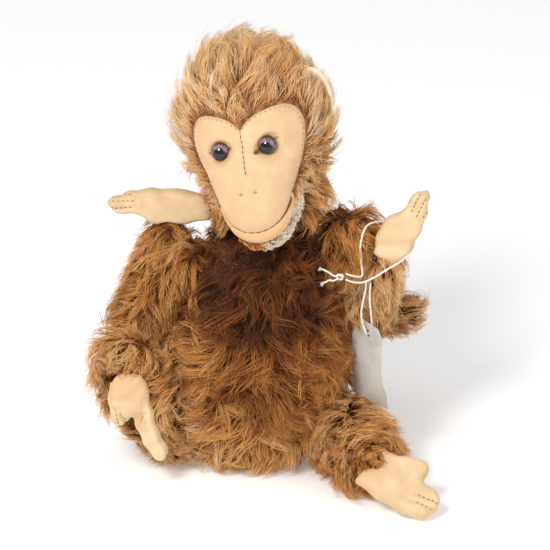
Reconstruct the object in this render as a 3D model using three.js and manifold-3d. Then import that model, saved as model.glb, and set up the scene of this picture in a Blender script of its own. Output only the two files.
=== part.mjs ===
// A seated toy monkey in mohair and felt, jointed at the neck, shoulders and hips.
// Millimetres, +Z up. The origin is the middle of the flat seat, the monkey faces -Y,
// and its own left side is +X.

import * as THREE from 'three';
import { mergeVertices } from 'three/addons/utils/BufferGeometryUtils.js';
import Module from 'manifold-3d';

const wasm = await Module();
wasm.setup();

// ---- driving dimensions ----
const GAP = 0.3; // clearance between pieces that touch
const ROUND = 16; // sides of a turned piece
const HEAD_SIDES = 22;
const LIMB_SIDES = 12;
const TORSO_SIDES = 22;
const FELT = 1.5; // thickness of the felt
const LIP_EXTRA = 0.4; // the lower lip stands this much prouder than the face
const TORSO_DEPTH = 0.92; // the body is a little flatter than it is wide
const TORSO_LEAN = 0.075; // sideways lean of the body towards its left, mm per mm of height
const NECK_HEIGHT = 129;
const HEAD_ROLL = THREE.MathUtils.degToRad(-12);
const HEAD_TURN = THREE.MathUtils.degToRad(-7);
const NECK_ASIDE = 1.7;
const NECK = new THREE.Vector3(NECK_HEIGHT * TORSO_LEAN + NECK_ASIDE, 0, NECK_HEIGHT);
const PIN_RADIUS = 1;
const PIN_HEAD = { radius: 2.6, thickness: 0.8 };
const DISC_THICKNESS = 2.2;
const DISC_BORE = PIN_RADIUS + GAP;
const STRING_RADIUS = 0.5;
const TAG_TURN = THREE.MathUtils.degToRad(-58); // how far the card has twisted on its string

const SHOULDER = { height: 100, radius: 27, disc: 8, depth: 2.4, torsoDepth: 3.6 };
const HIP = { height: 22, radius: 33.5, disc: 10.5, depth: 2.4, torsoDepth: 4.2 };
const HIP_AZIMUTH = THREE.MathUtils.degToRad(20); // how far round to the front the hips sit
const NECK_JOINT = { disc: 12.5, depth: 2.6, torsoDepth: 2.6 };

// ---- finishes ----
const MOHAIR = { color: 0x9c6a3a, roughness: 0.95, metalness: 0 };
const HEAD_MOHAIR = { color: 0xc0904f, roughness: 0.95, metalness: 0 };
const WHITE_MOHAIR = { color: 0xe6dccb, roughness: 0.95, metalness: 0 };
const FELT_CREAM = { color: 0xf2d6a8, roughness: 0.9, metalness: 0 };
const THREAD = { color: 0x5c3a1e, roughness: 0.8, metalness: 0 };
const GLASS = { color: 0x241a18, roughness: 0.05, metalness: 0 };
const STEEL = { color: 0x9a9a98, roughness: 0.35, metalness: 1 };
const BOARD = { color: 0x8a6a45, roughness: 0.85, metalness: 0 };
const CARD = { color: 0xe2dfd8, roughness: 0.8, metalness: 0 };
const COTTON = { color: 0xf4f2ec, roughness: 0.9, metalness: 0 };

const monkey = new THREE.Group();
const UP = new THREE.Vector3(0, 0, 1);

// ---- solids ----
function vec(x, y, z) {
  return new THREE.Vector3(x, y, z);
}

function toSolid(geometry) {
  const bare = geometry.clone();
  bare.deleteAttribute('normal');
  bare.deleteAttribute('uv');
  const merged = mergeVertices(bare, 1e-4);
  return new wasm.Manifold(new wasm.Mesh({
    numProp: 3,
    vertProperties: new Float32Array(merged.attributes.position.array),
    triVerts: new Uint32Array(merged.index.array),
  }));
}

function toGeometry(solid) {
  const mesh = solid.getMesh();
  const geometry = new THREE.BufferGeometry();
  geometry.setAttribute('position', new THREE.BufferAttribute(new Float32Array(mesh.vertProperties), 3));
  geometry.setIndex(new THREE.BufferAttribute(new Uint32Array(mesh.triVerts), 1));
  geometry.computeVertexNormals();
  return geometry;
}

function addPiece(name, shape, finish, parent = monkey) {
  const geometry = shape.isBufferGeometry ? shape : toGeometry(shape);
  const mesh = new THREE.Mesh(geometry, new THREE.MeshStandardMaterial(finish));
  mesh.name = name;
  parent.add(mesh);
  return mesh;
}

// Turns a shape that was made along +Z so that it runs along an axis from a point.
function along(geometry, start, axis) {
  const turn = new THREE.Quaternion().setFromUnitVectors(UP, axis.clone().normalize());
  geometry.applyQuaternion(turn);
  geometry.translate(start.x, start.y, start.z);
  return geometry;
}

function ball(centre, radii, sides = ROUND) {
  const geometry = new THREE.SphereGeometry(1, sides, Math.round(sides * 0.6));
  geometry.rotateX(Math.PI / 2);
  geometry.scale(radii.x, radii.y, radii.z);
  geometry.translate(centre.x, centre.y, centre.z);
  return toSolid(geometry);
}

// A round-ended cone: the skin that wraps a ball at each end.
function taper(start, end, startRadius, endRadius, sides = ROUND) {
  const span = end.clone().sub(start);
  const length = span.length();
  const slope = Math.asin((startRadius - endRadius) / length);
  const profile = [];
  const steps = 3;
  for (let i = 0; i <= steps; i += 1) {
    const angle = -Math.PI / 2 + (i / steps) * (Math.PI / 2 + slope);
    profile.push(new THREE.Vector2(startRadius * Math.cos(angle), startRadius * Math.sin(angle)));
  }
  for (let i = 0; i <= steps; i += 1) {
    const angle = slope + (i / steps) * (Math.PI / 2 - slope);
    profile.push(new THREE.Vector2(endRadius * Math.cos(angle), length + endRadius * Math.sin(angle)));
  }
  profile[0].x = 0;
  profile[profile.length - 1].x = 0;
  return toSolid(along(turned(profile, sides), start, span));
}

function turned(profile, sides = ROUND) {
  const geometry = new THREE.LatheGeometry(profile, sides);
  geometry.rotateX(Math.PI / 2);
  return geometry;
}

// A limb through several places, each with its own radius.
function limb(stations, sides = LIMB_SIDES) {
  let solid = null;
  for (let i = 0; i + 1 < stations.length; i += 1) {
    const a = stations[i];
    const b = stations[i + 1];
    const part = taper(a.at, b.at, a.radius, b.radius, sides);
    solid = solid ? solid.add(part) : part;
  }
  return solid;
}

// Everything on the far side of a plane from where its normal points.
function behindPlane(point, normal) {
  const size = 400;
  const block = new THREE.BoxGeometry(size, size, size);
  block.translate(0, 0, -size / 2);
  return toSolid(along(block, point, normal));
}

// ---- disc joints ----
// A joint is a hardboard disc inside the body and one inside the limb or head, with a
// steel pin through both. The axis points out of the body, and the seam plane, where the
// two covers meet, is at the joint's place.
function discProfile(radius, bottom, top) {
  return [
    new THREE.Vector2(DISC_BORE, bottom),
    new THREE.Vector2(radius, bottom),
    new THREE.Vector2(radius, top),
    new THREE.Vector2(DISC_BORE, top),
    new THREE.Vector2(DISC_BORE, bottom),
  ];
}

function pinProfile(bottom, top) {
  const head = PIN_HEAD.thickness;
  return [
    new THREE.Vector2(0, bottom - head),
    new THREE.Vector2(PIN_HEAD.radius, bottom - head),
    new THREE.Vector2(PIN_HEAD.radius, bottom),
    new THREE.Vector2(PIN_RADIUS, bottom),
    new THREE.Vector2(PIN_RADIUS, top),
    new THREE.Vector2(PIN_HEAD.radius, top),
    new THREE.Vector2(PIN_HEAD.radius, top + head),
    new THREE.Vector2(0, top + head),
  ];
}

function pocketProfile(radius, nearFace, farFace, end) {
  return [
    new THREE.Vector2(0, 0),
    new THREE.Vector2(PIN_RADIUS + GAP, 0),
    new THREE.Vector2(PIN_RADIUS + GAP, nearFace),
    new THREE.Vector2(radius + GAP, nearFace),
    new THREE.Vector2(radius + GAP, farFace),
    new THREE.Vector2(PIN_HEAD.radius + GAP, farFace),
    new THREE.Vector2(PIN_HEAD.radius + GAP, end),
    new THREE.Vector2(0, end),
  ];
}

function discJoint(place, axis, size) {
  const direction = axis.clone().normalize();
  const outward = (profile) => along(turned(profile), place, direction);
  const inward = (profile) => along(turned(profile), place, direction.clone().negate());
  const outerFace = size.depth + DISC_THICKNESS;
  const innerFace = size.torsoDepth + DISC_THICKNESS;
  const reach = PIN_HEAD.thickness + 2 * GAP;
  const coverCut = (side, depth, face) => {
    const profile = pocketProfile(size.disc, depth - GAP, face + GAP, face + reach);
    profile[0].y = -2;
    profile[1].y = -2;
    return toSolid(side(profile));
  };
  return {
    place,
    direction,
    outerDisc: outward(discProfile(size.disc, size.depth, outerFace)),
    innerDisc: inward(discProfile(size.disc, size.torsoDepth, innerFace)),
    pin: outward(pinProfile(-innerFace - GAP, outerFace + GAP)),
    limbPocket: coverCut(outward, size.depth, outerFace),
    bodyPocket: coverCut(inward, size.torsoDepth, innerFace),
  };
}

function bodyPoint(azimuth, radius, height) {
  return vec(
    radius * Math.cos(azimuth) + height * TORSO_LEAN,
    -radius * TORSO_DEPTH * Math.sin(azimuth),
    height,
  );
}

const neckAxis = vec(Math.sin(HEAD_ROLL), 0, Math.cos(HEAD_ROLL));
const neck = discJoint(NECK, neckAxis, NECK_JOINT);

const shoulderRise = 0.42;
const hipDrop = -0.38;
const shoulders = {};
const hips = {};
for (const [side, sign] of [['left', 1], ['right', -1]]) {
  const shoulderPlace = bodyPoint(sign > 0 ? 0 : Math.PI, SHOULDER.radius, SHOULDER.height);
  shoulders[side] = discJoint(shoulderPlace, vec(sign, 0, shoulderRise), SHOULDER);
  const azimuth = sign > 0 ? HIP_AZIMUTH : Math.PI - HIP_AZIMUTH;
  const hipPlace = bodyPoint(azimuth, HIP.radius, HIP.height);
  const hipOut = vec(sign * Math.cos(HIP_AZIMUTH), -Math.sin(HIP_AZIMUTH), hipDrop);
  hips[side] = discJoint(hipPlace, hipOut, HIP);
}

// ---- body ----
const torsoProfile = [
  [0, 0], [16, 0], [25, 5], [30.5, 13], [34, 22], [38.5, 36], [40, 52], [38, 68],
  [34, 84], [28, 100], [24.5, 112], [21.5, 122], [20, 136], [0, 136],
].map(([radius, height]) => new THREE.Vector2(radius, height));
const torsoEgg = turned(torsoProfile, TORSO_SIDES);
torsoEgg.scale(1, TORSO_DEPTH, 1);
torsoEgg.applyMatrix4(new THREE.Matrix4().makeShear(0, 0, 0, 0, TORSO_LEAN, 0));
let torso = toSolid(torsoEgg).intersect(behindPlane(NECK.clone().addScaledVector(neckAxis, -GAP), neckAxis));
torso = torso.subtract(neck.bodyPocket);
for (const joint of [shoulders.left, shoulders.right, hips.left, hips.right]) {
  torso = torso.intersect(behindPlane(joint.place, joint.direction));
  torso = torso.subtract(joint.bodyPocket);
}

const tailRoot = vec(6, 33.5, 26);
const tailStations = [
  { at: vec(10, 41, 26), radius: 7 },
  { at: vec(28, 54, 32), radius: 8 },
  { at: vec(54, 61, 43), radius: 8.5 },
  { at: vec(78, 54, 51), radius: 7.5 },
];
const tail = limb(tailStations, 10).add(taper(tailRoot, tailStations[0].at, 6, 7, 10));
addPiece('torso_cover', torso, MOHAIR);
addPiece('tail', tail.subtract(inflatedTorso()), MOHAIR);

// The body's outline grown by the seam gap, for pieces sewn to it.
function inflatedTorso() {
  const geometry = turned(torsoProfile, TORSO_SIDES);
  geometry.scale(1, TORSO_DEPTH, 1);
  const grow = 1.012;
  geometry.scale(grow, grow, 1);
  geometry.applyMatrix4(new THREE.Matrix4().makeShear(0, 0, 0, 0, TORSO_LEAN, 0));
  return toSolid(geometry);
}

// ---- head, in its own frame: the neck seam at the origin, the face towards -Y ----
const head = new THREE.Group();
head.position.copy(NECK);
head.rotation.set(0, HEAD_ROLL, HEAD_TURN, 'YXZ');
monkey.add(head);

const SKULL = { at: vec(2, -5, 50), radii: vec(33, 35, 39) };
const JAW = { at: vec(1, -4, 20), radii: vec(25, 27, 26) };
const BRIDGE = { at: vec(2, -22, 42), radius: 24 };
const LIP = { at: vec(2, -37, 26), radius: 17 };
const EYE_RADIUS = 5.2;
const EYES = { spread: 11.7, height: 55.5 };
const SHANK = { radius: 0.9, length: 16, overlap: 3.5 };

function headForm(extra) {
  const grown = (radii) => radii.clone().addScalar(extra);
  return ball(SKULL.at, grown(SKULL.radii), HEAD_SIDES)
    .add(ball(JAW.at, grown(JAW.radii), HEAD_SIDES))
    .add(taper(BRIDGE.at, LIP.at, BRIDGE.radius + extra, LIP.radius + extra, HEAD_SIDES));
}

// A patch of cloth laid on the front of the head, cut to an outline seen from the front.
function patch(outline, inner, outer) {
  const depth = 70;
  const prism = new THREE.ExtrudeGeometry(outline, { depth, bevelEnabled: false, curveSegments: 4 });
  prism.rotateX(Math.PI / 2);
  return headForm(outer).subtract(headForm(inner)).intersect(toSolid(prism));
}

const faceTop = { lobe: 71.5, notch: 64.5, lobeX: 15.5 };
const faceOutline = new THREE.Shape();
faceOutline.moveTo(2, faceTop.notch);
faceOutline.bezierCurveTo(5, faceTop.lobe - 2, 10, faceTop.lobe, 2 + faceTop.lobeX, faceTop.lobe);
faceOutline.bezierCurveTo(27, faceTop.lobe, 31, 64, 31, 56);
faceOutline.bezierCurveTo(30, 45, 24, 36, 19.5, 27);
faceOutline.bezierCurveTo(16, 19, 10, 14.8, 2, 14.8);
faceOutline.bezierCurveTo(-6, 14.8, -12, 19, -15.5, 27);
faceOutline.bezierCurveTo(-19, 36, -23.5, 45, -24.5, 56);
faceOutline.bezierCurveTo(-24.5, 64, -21.5, faceTop.lobe, 3 - faceTop.lobeX, faceTop.lobe);
faceOutline.bezierCurveTo(-6, faceTop.lobe, -1, faceTop.lobe - 2, 2, faceTop.notch);

const LIP_EDGE = 9.6;
const lipOutline = new THREE.Shape();
lipOutline.moveTo(21.5, 27);
lipOutline.bezierCurveTo(17, 18, 10, 14, 2, 14);
lipOutline.bezierCurveTo(-6, 14, -13, 18, -17.5, 27);
lipOutline.bezierCurveTo(-17.5, 17, -9, LIP_EDGE, 2, LIP_EDGE);
lipOutline.bezierCurveTo(13, LIP_EDGE, 21.5, 17, 21.5, 27);

const eyeHoles = [];
const eyePieces = [];
for (const [side, sign] of [['left', 1], ['right', -1]]) {
  const x = SKULL.at.x + sign * EYES.spread;
  const y = SKULL.at.y - 32.4;
  const centre = vec(x, y, EYES.height);
  const shankAxis = vec(sign * 0.12, 1, 0);
  const shank = new THREE.CylinderGeometry(SHANK.radius, SHANK.radius, SHANK.length, 8);
  shank.rotateX(Math.PI / 2);
  shank.translate(0, 0, SHANK.length / 2 - SHANK.overlap);
  const boreRadius = SHANK.radius + GAP;
  const hole = new THREE.CylinderGeometry(boreRadius, boreRadius, SHANK.length + 2 * GAP, 8);
  hole.rotateX(Math.PI / 2);
  hole.translate(0, 0, SHANK.length / 2 - SHANK.overlap);
  eyeHoles.push(toSolid(along(hole, centre, shankAxis)));
  const dome = ball(centre, vec(EYE_RADIUS, EYE_RADIUS, EYE_RADIUS), 16);
  eyePieces.push([side, dome, toSolid(along(shank, centre, shankAxis))]);
}

const seamCut = behindPlane(vec(0, 0, GAP), vec(0, 0, 1));
let headCover = headForm(0).subtract(seamCut);
const headNeck = discJoint(vec(0, 0, 0), UP, NECK_JOINT);
headCover = headCover.subtract(headNeck.limbPocket);
let face = patch(faceOutline, GAP, GAP + FELT);
for (const hole of eyeHoles) {
  headCover = headCover.subtract(hole);
  face = face.subtract(hole);
}
addPiece('head_cover', headCover, HEAD_MOHAIR, head);
addPiece('face', face, FELT_CREAM, head);

const lip = patch(lipOutline, GAP, GAP + FELT + LIP_EXTRA).intersect(behindPlane(vec(0, -22, 0), vec(0, 1, 0)));
addPiece('lower_lip', lip, FELT_CREAM, head);

// The white patch wraps the underside of the jaw, just below the lip.
const CHIN = { top: LIP_EDGE - GAP, bottom: 1.2 };
const chin = taper(vec(2, -33, 15), vec(2, -16, 13), 15.5, 15)
  .subtract(headForm(GAP))
  .intersect(behindPlane(vec(0, 0, CHIN.top), UP))
  .subtract(behindPlane(vec(0, 0, CHIN.bottom), UP));
addPiece('chin_patch', largest(chin), WHITE_MOHAIR, head);

for (const [side, dome, shank] of eyePieces) {
  const glass = dome.subtract(headForm(2 * GAP + FELT));
  addPiece(`eye_${side}`, glass.add(shank), GLASS, head);
}

// Ears: a cupped felt half-moon each side, set behind the face.
for (const [side, sign] of [['left', 1], ['right', -1]]) {
  const earAt = vec(SKULL.at.x + sign * 33, SKULL.at.y + 4, 62);
  const outer = ball(earAt, vec(8.5, 6, 15.5), 14);
  const hollow = ball(earAt.clone().add(vec(sign * 1.5, -3.4, 0)), vec(6.6, 4.6, 13.2), 14);
  const ear = outer.subtract(hollow).subtract(headForm(GAP));
  addPiece(`ear_${side}`, largest(ear), FELT_CREAM, head);
}

function largest(solid) {
  return solid.decompose().sort((a, b) => b.volume() - a.volume())[0];
}

// Stitching on the face: a thread down the centre seam, the mouth, and two nostrils.
const THREAD_WIDTH = 0.8;
const THREAD_RISE = 0.6;

function stitch(outline, backing) {
  const bottom = backing + GAP;
  return largest(patch(outline, bottom, bottom + THREAD_RISE));
}

const midline = SKULL.at.x;
const seamOutline = new THREE.Shape();
seamOutline.moveTo(midline - THREAD_WIDTH / 2, 44);
seamOutline.lineTo(midline + THREAD_WIDTH / 2, 44);
seamOutline.lineTo(midline + THREAD_WIDTH / 2, 63);
seamOutline.lineTo(midline - THREAD_WIDTH / 2, 63);
seamOutline.closePath();
addPiece('centre_stitch', stitch(seamOutline, GAP + FELT), THREAD, head);

const mouthOutline = new THREE.Shape();
mouthOutline.moveTo(midline - 15, 21);
mouthOutline.quadraticCurveTo(midline, 9, midline + 17, 21);
mouthOutline.lineTo(midline + 17, 22);
mouthOutline.quadraticCurveTo(midline, 10.4, midline - 15, 22);
mouthOutline.closePath();
addPiece('mouth_stitch', stitch(mouthOutline, GAP + FELT + LIP_EXTRA), THREAD, head);

for (const [side, sign] of [['left', 1], ['right', -1]]) {
  const nostril = new THREE.Shape();
  nostril.absellipse(midline + sign * 3.6, 37, 1.6, 0.6, 0, Math.PI * 2);
  addPiece(`nostril_${side}`, stitch(nostril, GAP + FELT), THREAD, head);
}

// ---- arms ----
const ARMS = {
  left: [
    { at: shoulders.left.place.clone().add(vec(11.2, 0.5, 4.7)), radius: 11.5 },
    { at: vec(49, 3, 116), radius: 13 },
    { at: vec(60, -3, 81), radius: 9 },
    { at: vec(67.5, -11.5, 107), radius: 6.8 },
  ],
  right: [
    { at: shoulders.right.place.clone().add(vec(-11.2, 0.5, 4.7)), radius: 11.5 },
    { at: vec(-39, 2, 104), radius: 12 },
    { at: vec(-54, -3, 76), radius: 12 },
    { at: vec(-41, 2, 119), radius: 8 },
  ],
};

// ---- hands: a padded felt mitten, in its own plane, fingers along +X and thumb to +Y ----
function mitten(outline, thickness, softness = 0.8) {
  const bevel = thickness * 0.34;
  const geometry = new THREE.ExtrudeGeometry(outline, {
    depth: thickness - 2 * bevel,
    bevelThickness: bevel,
    bevelSize: bevel * softness,
    bevelOffset: -bevel * softness,
    bevelSegments: 2,
    curveSegments: 4,
  });
  geometry.translate(0, 0, -thickness / 2 + bevel);
  return geometry;
}

// Places a flat piece: its own +X along one direction and its own +Z along a normal.
function layOut(geometry, origin, forward, normal) {
  const x = forward.clone().normalize();
  const y = normal.clone().cross(x).normalize();
  const z = x.clone().cross(y);
  const frame = new THREE.Matrix4().makeBasis(x, y, z).setPosition(origin);
  return geometry.applyMatrix4(frame);
}

function handOutline() {
  const s = new THREE.Shape();
  s.moveTo(0, -6);
  s.bezierCurveTo(10, -9.5, 18, -8.5, 26, -7.5);
  s.bezierCurveTo(34, -6.5, 41, -4.5, 43, -1.5);
  s.bezierCurveTo(44, 2, 41, 4.5, 36, 5.2);
  s.bezierCurveTo(30, 5.6, 27, 5, 24, 6.5);
  s.bezierCurveTo(22, 10, 15, 11.5, 11, 10.2);
  s.bezierCurveTo(6, 9, 3, 7.5, 0, 6.5);
  s.closePath();
  return s;
}

function footOutline() {
  const s = new THREE.Shape();
  s.moveTo(0, -10);
  s.bezierCurveTo(10, -12.5, 20, -14.5, 30, -14.5);
  s.bezierCurveTo(38, -14.5, 43, -11, 43, -6);
  s.bezierCurveTo(43.5, -1, 41, 3, 34, 3.6);
  s.bezierCurveTo(31, 4, 29, 6, 30, 10);
  s.bezierCurveTo(30, 15, 25, 17, 21, 14.5);
  s.bezierCurveTo(14, 12, 8, 11, 0, 10);
  s.closePath();
  return s;
}

// The right foot hangs side on: a bunch of short toes, and the long big toe curling out beside them.
function hangingFootOutline() {
  const s = new THREE.Shape();
  s.moveTo(0, -9.5);
  s.bezierCurveTo(6, -11, 12, -12, 18, -11.5);
  s.bezierCurveTo(24, -11, 27.5, -9, 26.5, -6);
  s.bezierCurveTo(26, -3, 23, -1.5, 20, 0.4);
  s.bezierCurveTo(28, 1.6, 34, 3.4, 39, 6);
  s.bezierCurveTo(43, 8, 47, 11.5, 45, 14.5);
  s.bezierCurveTo(42.5, 17, 37, 14.4, 33, 12.6);
  s.bezierCurveTo(26, 10.4, 18, 10.2, 10, 9.8);
  s.bezierCurveTo(6, 9.7, 3, 9.6, 0, 9.5);
  s.closePath();
  return s;
}

const HANDS = {
  left: { at: vec(67, -13, 112), forward: vec(22, -3, 40), normal: vec(-0.2, -1, 0.25) },
  right: { at: vec(-28, 4, 133), forward: vec(-42, -2, 3), normal: vec(0, -1, 0.15) },
};

const hands = {};
for (const side of ['left', 'right']) {
  const place = HANDS[side];
  hands[side] = toSolid(layOut(mitten(handOutline(), 9), place.at, place.forward, place.normal));
}

for (const side of ['left', 'right']) {
  const joint = shoulders[side];
  const sleeve = limb(ARMS[side]);
  const seam = behindPlane(joint.place.clone().addScaledVector(joint.direction, GAP), joint.direction);
  const arm = sleeve.subtract(seam).subtract(joint.limbPocket);
  addPiece(`arm_${side}`, largest(arm), MOHAIR);
  addPiece(`hand_${side}`, largest(hands[side].subtract(limb(grow(ARMS[side], GAP)))), FELT_CREAM);
}

function grow(stations, extra) {
  return stations.map((station) => ({ at: station.at, radius: station.radius + extra }));
}

// ---- legs and feet ----
const LEGS = {
  left: [
    { at: hips.left.place.clone().addScaledVector(hips.left.direction, 11), radius: 15.5 },
    { at: vec(57, -40, 17), radius: 13 },
    { at: vec(60, -55, 18), radius: 9.5 },
  ],
  right: [
    { at: hips.right.place.clone().addScaledVector(hips.right.direction, 11), radius: 15.5 },
    { at: vec(-56, -29, 46), radius: 15 },
    { at: vec(-60, -36, 67), radius: 12 },
  ],
};
const FEET = {
  left: {
    at: vec(57, -58, 19.6),
    forward: vec(37, -16, -11),
    normal: vec(0, -0.58, 0.81),
    form: mitten(footOutline(), 10),
  },
  right: {
    at: vec(-60, -42, 60),
    forward: vec(4, 2, -44),
    normal: vec(-0.25, -1, 0),
    form: mitten(hangingFootOutline(), 8, 0.4),
  },
};
for (const side of ['left', 'right']) {
  const joint = hips[side];
  const seam = behindPlane(joint.place.clone().addScaledVector(joint.direction, GAP), joint.direction);
  const leg = limb(LEGS[side]).subtract(seam).subtract(joint.limbPocket);
  addPiece(`leg_${side}`, largest(leg), MOHAIR);
  const place = FEET[side];
  const sole = toSolid(layOut(place.form, place.at, place.forward, place.normal));
  addPiece(`foot_${side}`, largest(sole.subtract(limb(grow(LEGS[side], GAP)))), FELT_CREAM);
}

// ---- the joints' hardware ----
addPiece('neck_disc_body', neck.innerDisc, BOARD);
addPiece('neck_pin', neck.pin, STEEL);
addPiece('neck_disc_head', headNeck.outerDisc, BOARD, head);
for (const side of ['left', 'right']) {
  addPiece(`shoulder_disc_body_${side}`, shoulders[side].innerDisc, BOARD);
  addPiece(`shoulder_disc_arm_${side}`, shoulders[side].outerDisc, BOARD);
  addPiece(`shoulder_pin_${side}`, shoulders[side].pin, STEEL);
  addPiece(`hip_disc_body_${side}`, hips[side].innerDisc, BOARD);
  addPiece(`hip_disc_leg_${side}`, hips[side].outerDisc, BOARD);
  addPiece(`hip_pin_${side}`, hips[side].pin, STEEL);
}

// ---- string and tag on the left wrist ----
// One string goes round the wrist and is knotted at the side. A second loop of it hangs
// from there through the hole of a flat card tag.
function cord(points, steps) {
  const section = new THREE.Shape();
  const sides = 8;
  for (let i = 0; i < sides; i += 1) {
    const angle = (i / sides) * Math.PI * 2;
    const x = STRING_RADIUS * Math.cos(angle);
    const y = STRING_RADIUS * Math.sin(angle);
    if (i === 0) section.moveTo(x, y);
    else section.lineTo(x, y);
  }
  section.closePath();
  const path = new THREE.CatmullRomCurve3(points.map((p) => vec(...p)), false, 'centripetal');
  return new THREE.ExtrudeGeometry(section, { steps, extrudePath: path, bevelEnabled: false });
}

const wristRoute = [
  [47.5, -25.6, 109.6], [51, -24.6, 108], [55.6, -21.6, 106.6], [55.2, -19, 113],
  [55, -16, 122], [58, -10, 128.4], [65, -4.6, 128.4], [74, -3.6, 125.4],
  [81, -8, 121.6], [80.6, -14.6, 117.8], [75.6, -20.4, 114.6], [68, -23.2, 110.8],
  [61, -24.2, 106.6], [55.6, -24.6, 104.4], [51, -25.8, 105.2], [47.5, -26.4, 106.8],
];
const tagRoute = [
  [57.6, -21.4, 103.4], [57.3, -21.2, 98], [56, -20.8, 91], [55.4, -20.4, 85],
  [56.4, -20.8, 79], [58, -22.6, 75.6], [59.4, -20, 74.2], [60.4, -17.6, 76],
  [60.6, -18.6, 80], [60.2, -19.6, 86], [59.6, -20.4, 92], [59.6, -21, 98], [60, -21.4, 102.6],
];
const KNOT = vec(44.6, -26, 108.2);
addPiece('wrist_string', cord(wristRoute, 44), COTTON);
addPiece('tag_string', cord(tagRoute, 32), COTTON);
addPiece('string_knot', ball(KNOT, vec(2.4, 2, 2.2), 10).subtract(toSolid(cord(wristRoute, 44))), COTTON);

// The tag is a thin flat card with two cut corners and a hole near its top.
const TAG = { width: 27, height: 43, thickness: 0.6, hole: 2, holeDrop: 5, top: 79.6 };
const tagOutline = new THREE.Shape();
tagOutline.moveTo(-TAG.width / 2, -TAG.height);
tagOutline.lineTo(TAG.width / 2, -TAG.height);
tagOutline.lineTo(TAG.width / 2, -5);
tagOutline.lineTo(TAG.width / 2 - 6, 0);
tagOutline.lineTo(-TAG.width / 2 + 6, 0);
tagOutline.lineTo(-TAG.width / 2, -5);
tagOutline.closePath();
const tagHole = new THREE.Path();
tagHole.absarc(0, -TAG.holeDrop, TAG.hole, 0, Math.PI * 2, true);
tagOutline.holes.push(tagHole);
const tagCard = new THREE.ExtrudeGeometry(tagOutline, {
  depth: TAG.thickness, bevelEnabled: false, curveSegments: 5,
});
tagCard.translate(0, 0, -TAG.thickness / 2);
tagCard.rotateX(Math.PI / 2);
tagCard.rotateZ(TAG_TURN);
tagCard.translate(59.4, -20, TAG.top);
addPiece('swing_tag', tagCard, CARD);

export default monkey;
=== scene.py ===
"""A seated, jointed toy monkey in mohair and felt, with a string and a card tag on its left wrist."""

import math

import bmesh
import bpy
import numpy as np
from mathutils import Matrix, Vector
from mathutils.bvhtree import BVHTree


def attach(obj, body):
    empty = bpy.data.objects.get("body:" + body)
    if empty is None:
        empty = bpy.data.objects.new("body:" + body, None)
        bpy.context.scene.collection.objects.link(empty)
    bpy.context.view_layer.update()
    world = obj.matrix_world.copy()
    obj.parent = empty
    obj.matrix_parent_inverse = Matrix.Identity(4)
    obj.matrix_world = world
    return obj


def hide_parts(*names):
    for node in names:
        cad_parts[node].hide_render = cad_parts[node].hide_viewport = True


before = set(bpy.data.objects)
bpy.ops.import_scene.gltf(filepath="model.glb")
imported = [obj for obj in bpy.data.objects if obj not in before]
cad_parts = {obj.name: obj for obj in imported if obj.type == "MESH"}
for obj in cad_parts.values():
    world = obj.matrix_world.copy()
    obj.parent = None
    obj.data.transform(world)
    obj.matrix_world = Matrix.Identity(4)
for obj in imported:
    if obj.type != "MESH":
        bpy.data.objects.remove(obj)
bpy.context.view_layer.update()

MM = 0.001
SIDES = ("left", "right")

# ---- camera: in front, looking down at the toy ----
CAMERA_TARGET = Vector((0.0125, 0.0, 0.097))
CAMERA_DISTANCE = 3.0
CAMERA_TILT = math.radians(25)
VIEW_WIDTH = 0.275
SENSOR = 36.0

camera = bpy.data.objects.new("camera", bpy.data.cameras.new("camera"))
bpy.context.scene.collection.objects.link(camera)
camera.data.sensor_width = SENSOR
camera.data.lens = SENSOR * CAMERA_DISTANCE / VIEW_WIDTH
camera.location = CAMERA_TARGET + CAMERA_DISTANCE * Vector((0, -math.cos(CAMERA_TILT), math.sin(CAMERA_TILT)))
camera.rotation_euler = (math.radians(90) - CAMERA_TILT, 0, 0)
bpy.context.scene.camera = camera


# ---- shader maths ----
def colour(red, green, blue):
    """A screen colour from 0 to 255, as the linear colour a shader takes."""
    linear = [((c / 255 + 0.055) / 1.055) ** 2.4 if c > 10 else c / 255 / 12.92 for c in (red, green, blue)]
    return (*linear, 1.0)


class Wire:
    """A node's output, so that maths on it is written as a sum."""

    def __init__(self, finish, socket):
        self.finish = finish
        self.socket = socket

    def maths(self, operation, *values):
        return self.finish.node("ShaderNodeMath", {"operation": operation}, dict(enumerate(values)))

    def __add__(self, other):
        return self.maths("ADD", self, other)

    __radd__ = __add__

    def __sub__(self, other):
        return self.maths("SUBTRACT", self, other)

    def __rsub__(self, other):
        return self.maths("SUBTRACT", other, self)

    def __mul__(self, other):
        return self.maths("MULTIPLY", self, other)

    __rmul__ = __mul__

    def __pow__(self, other):
        return self.maths("POWER", self, other)


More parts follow.
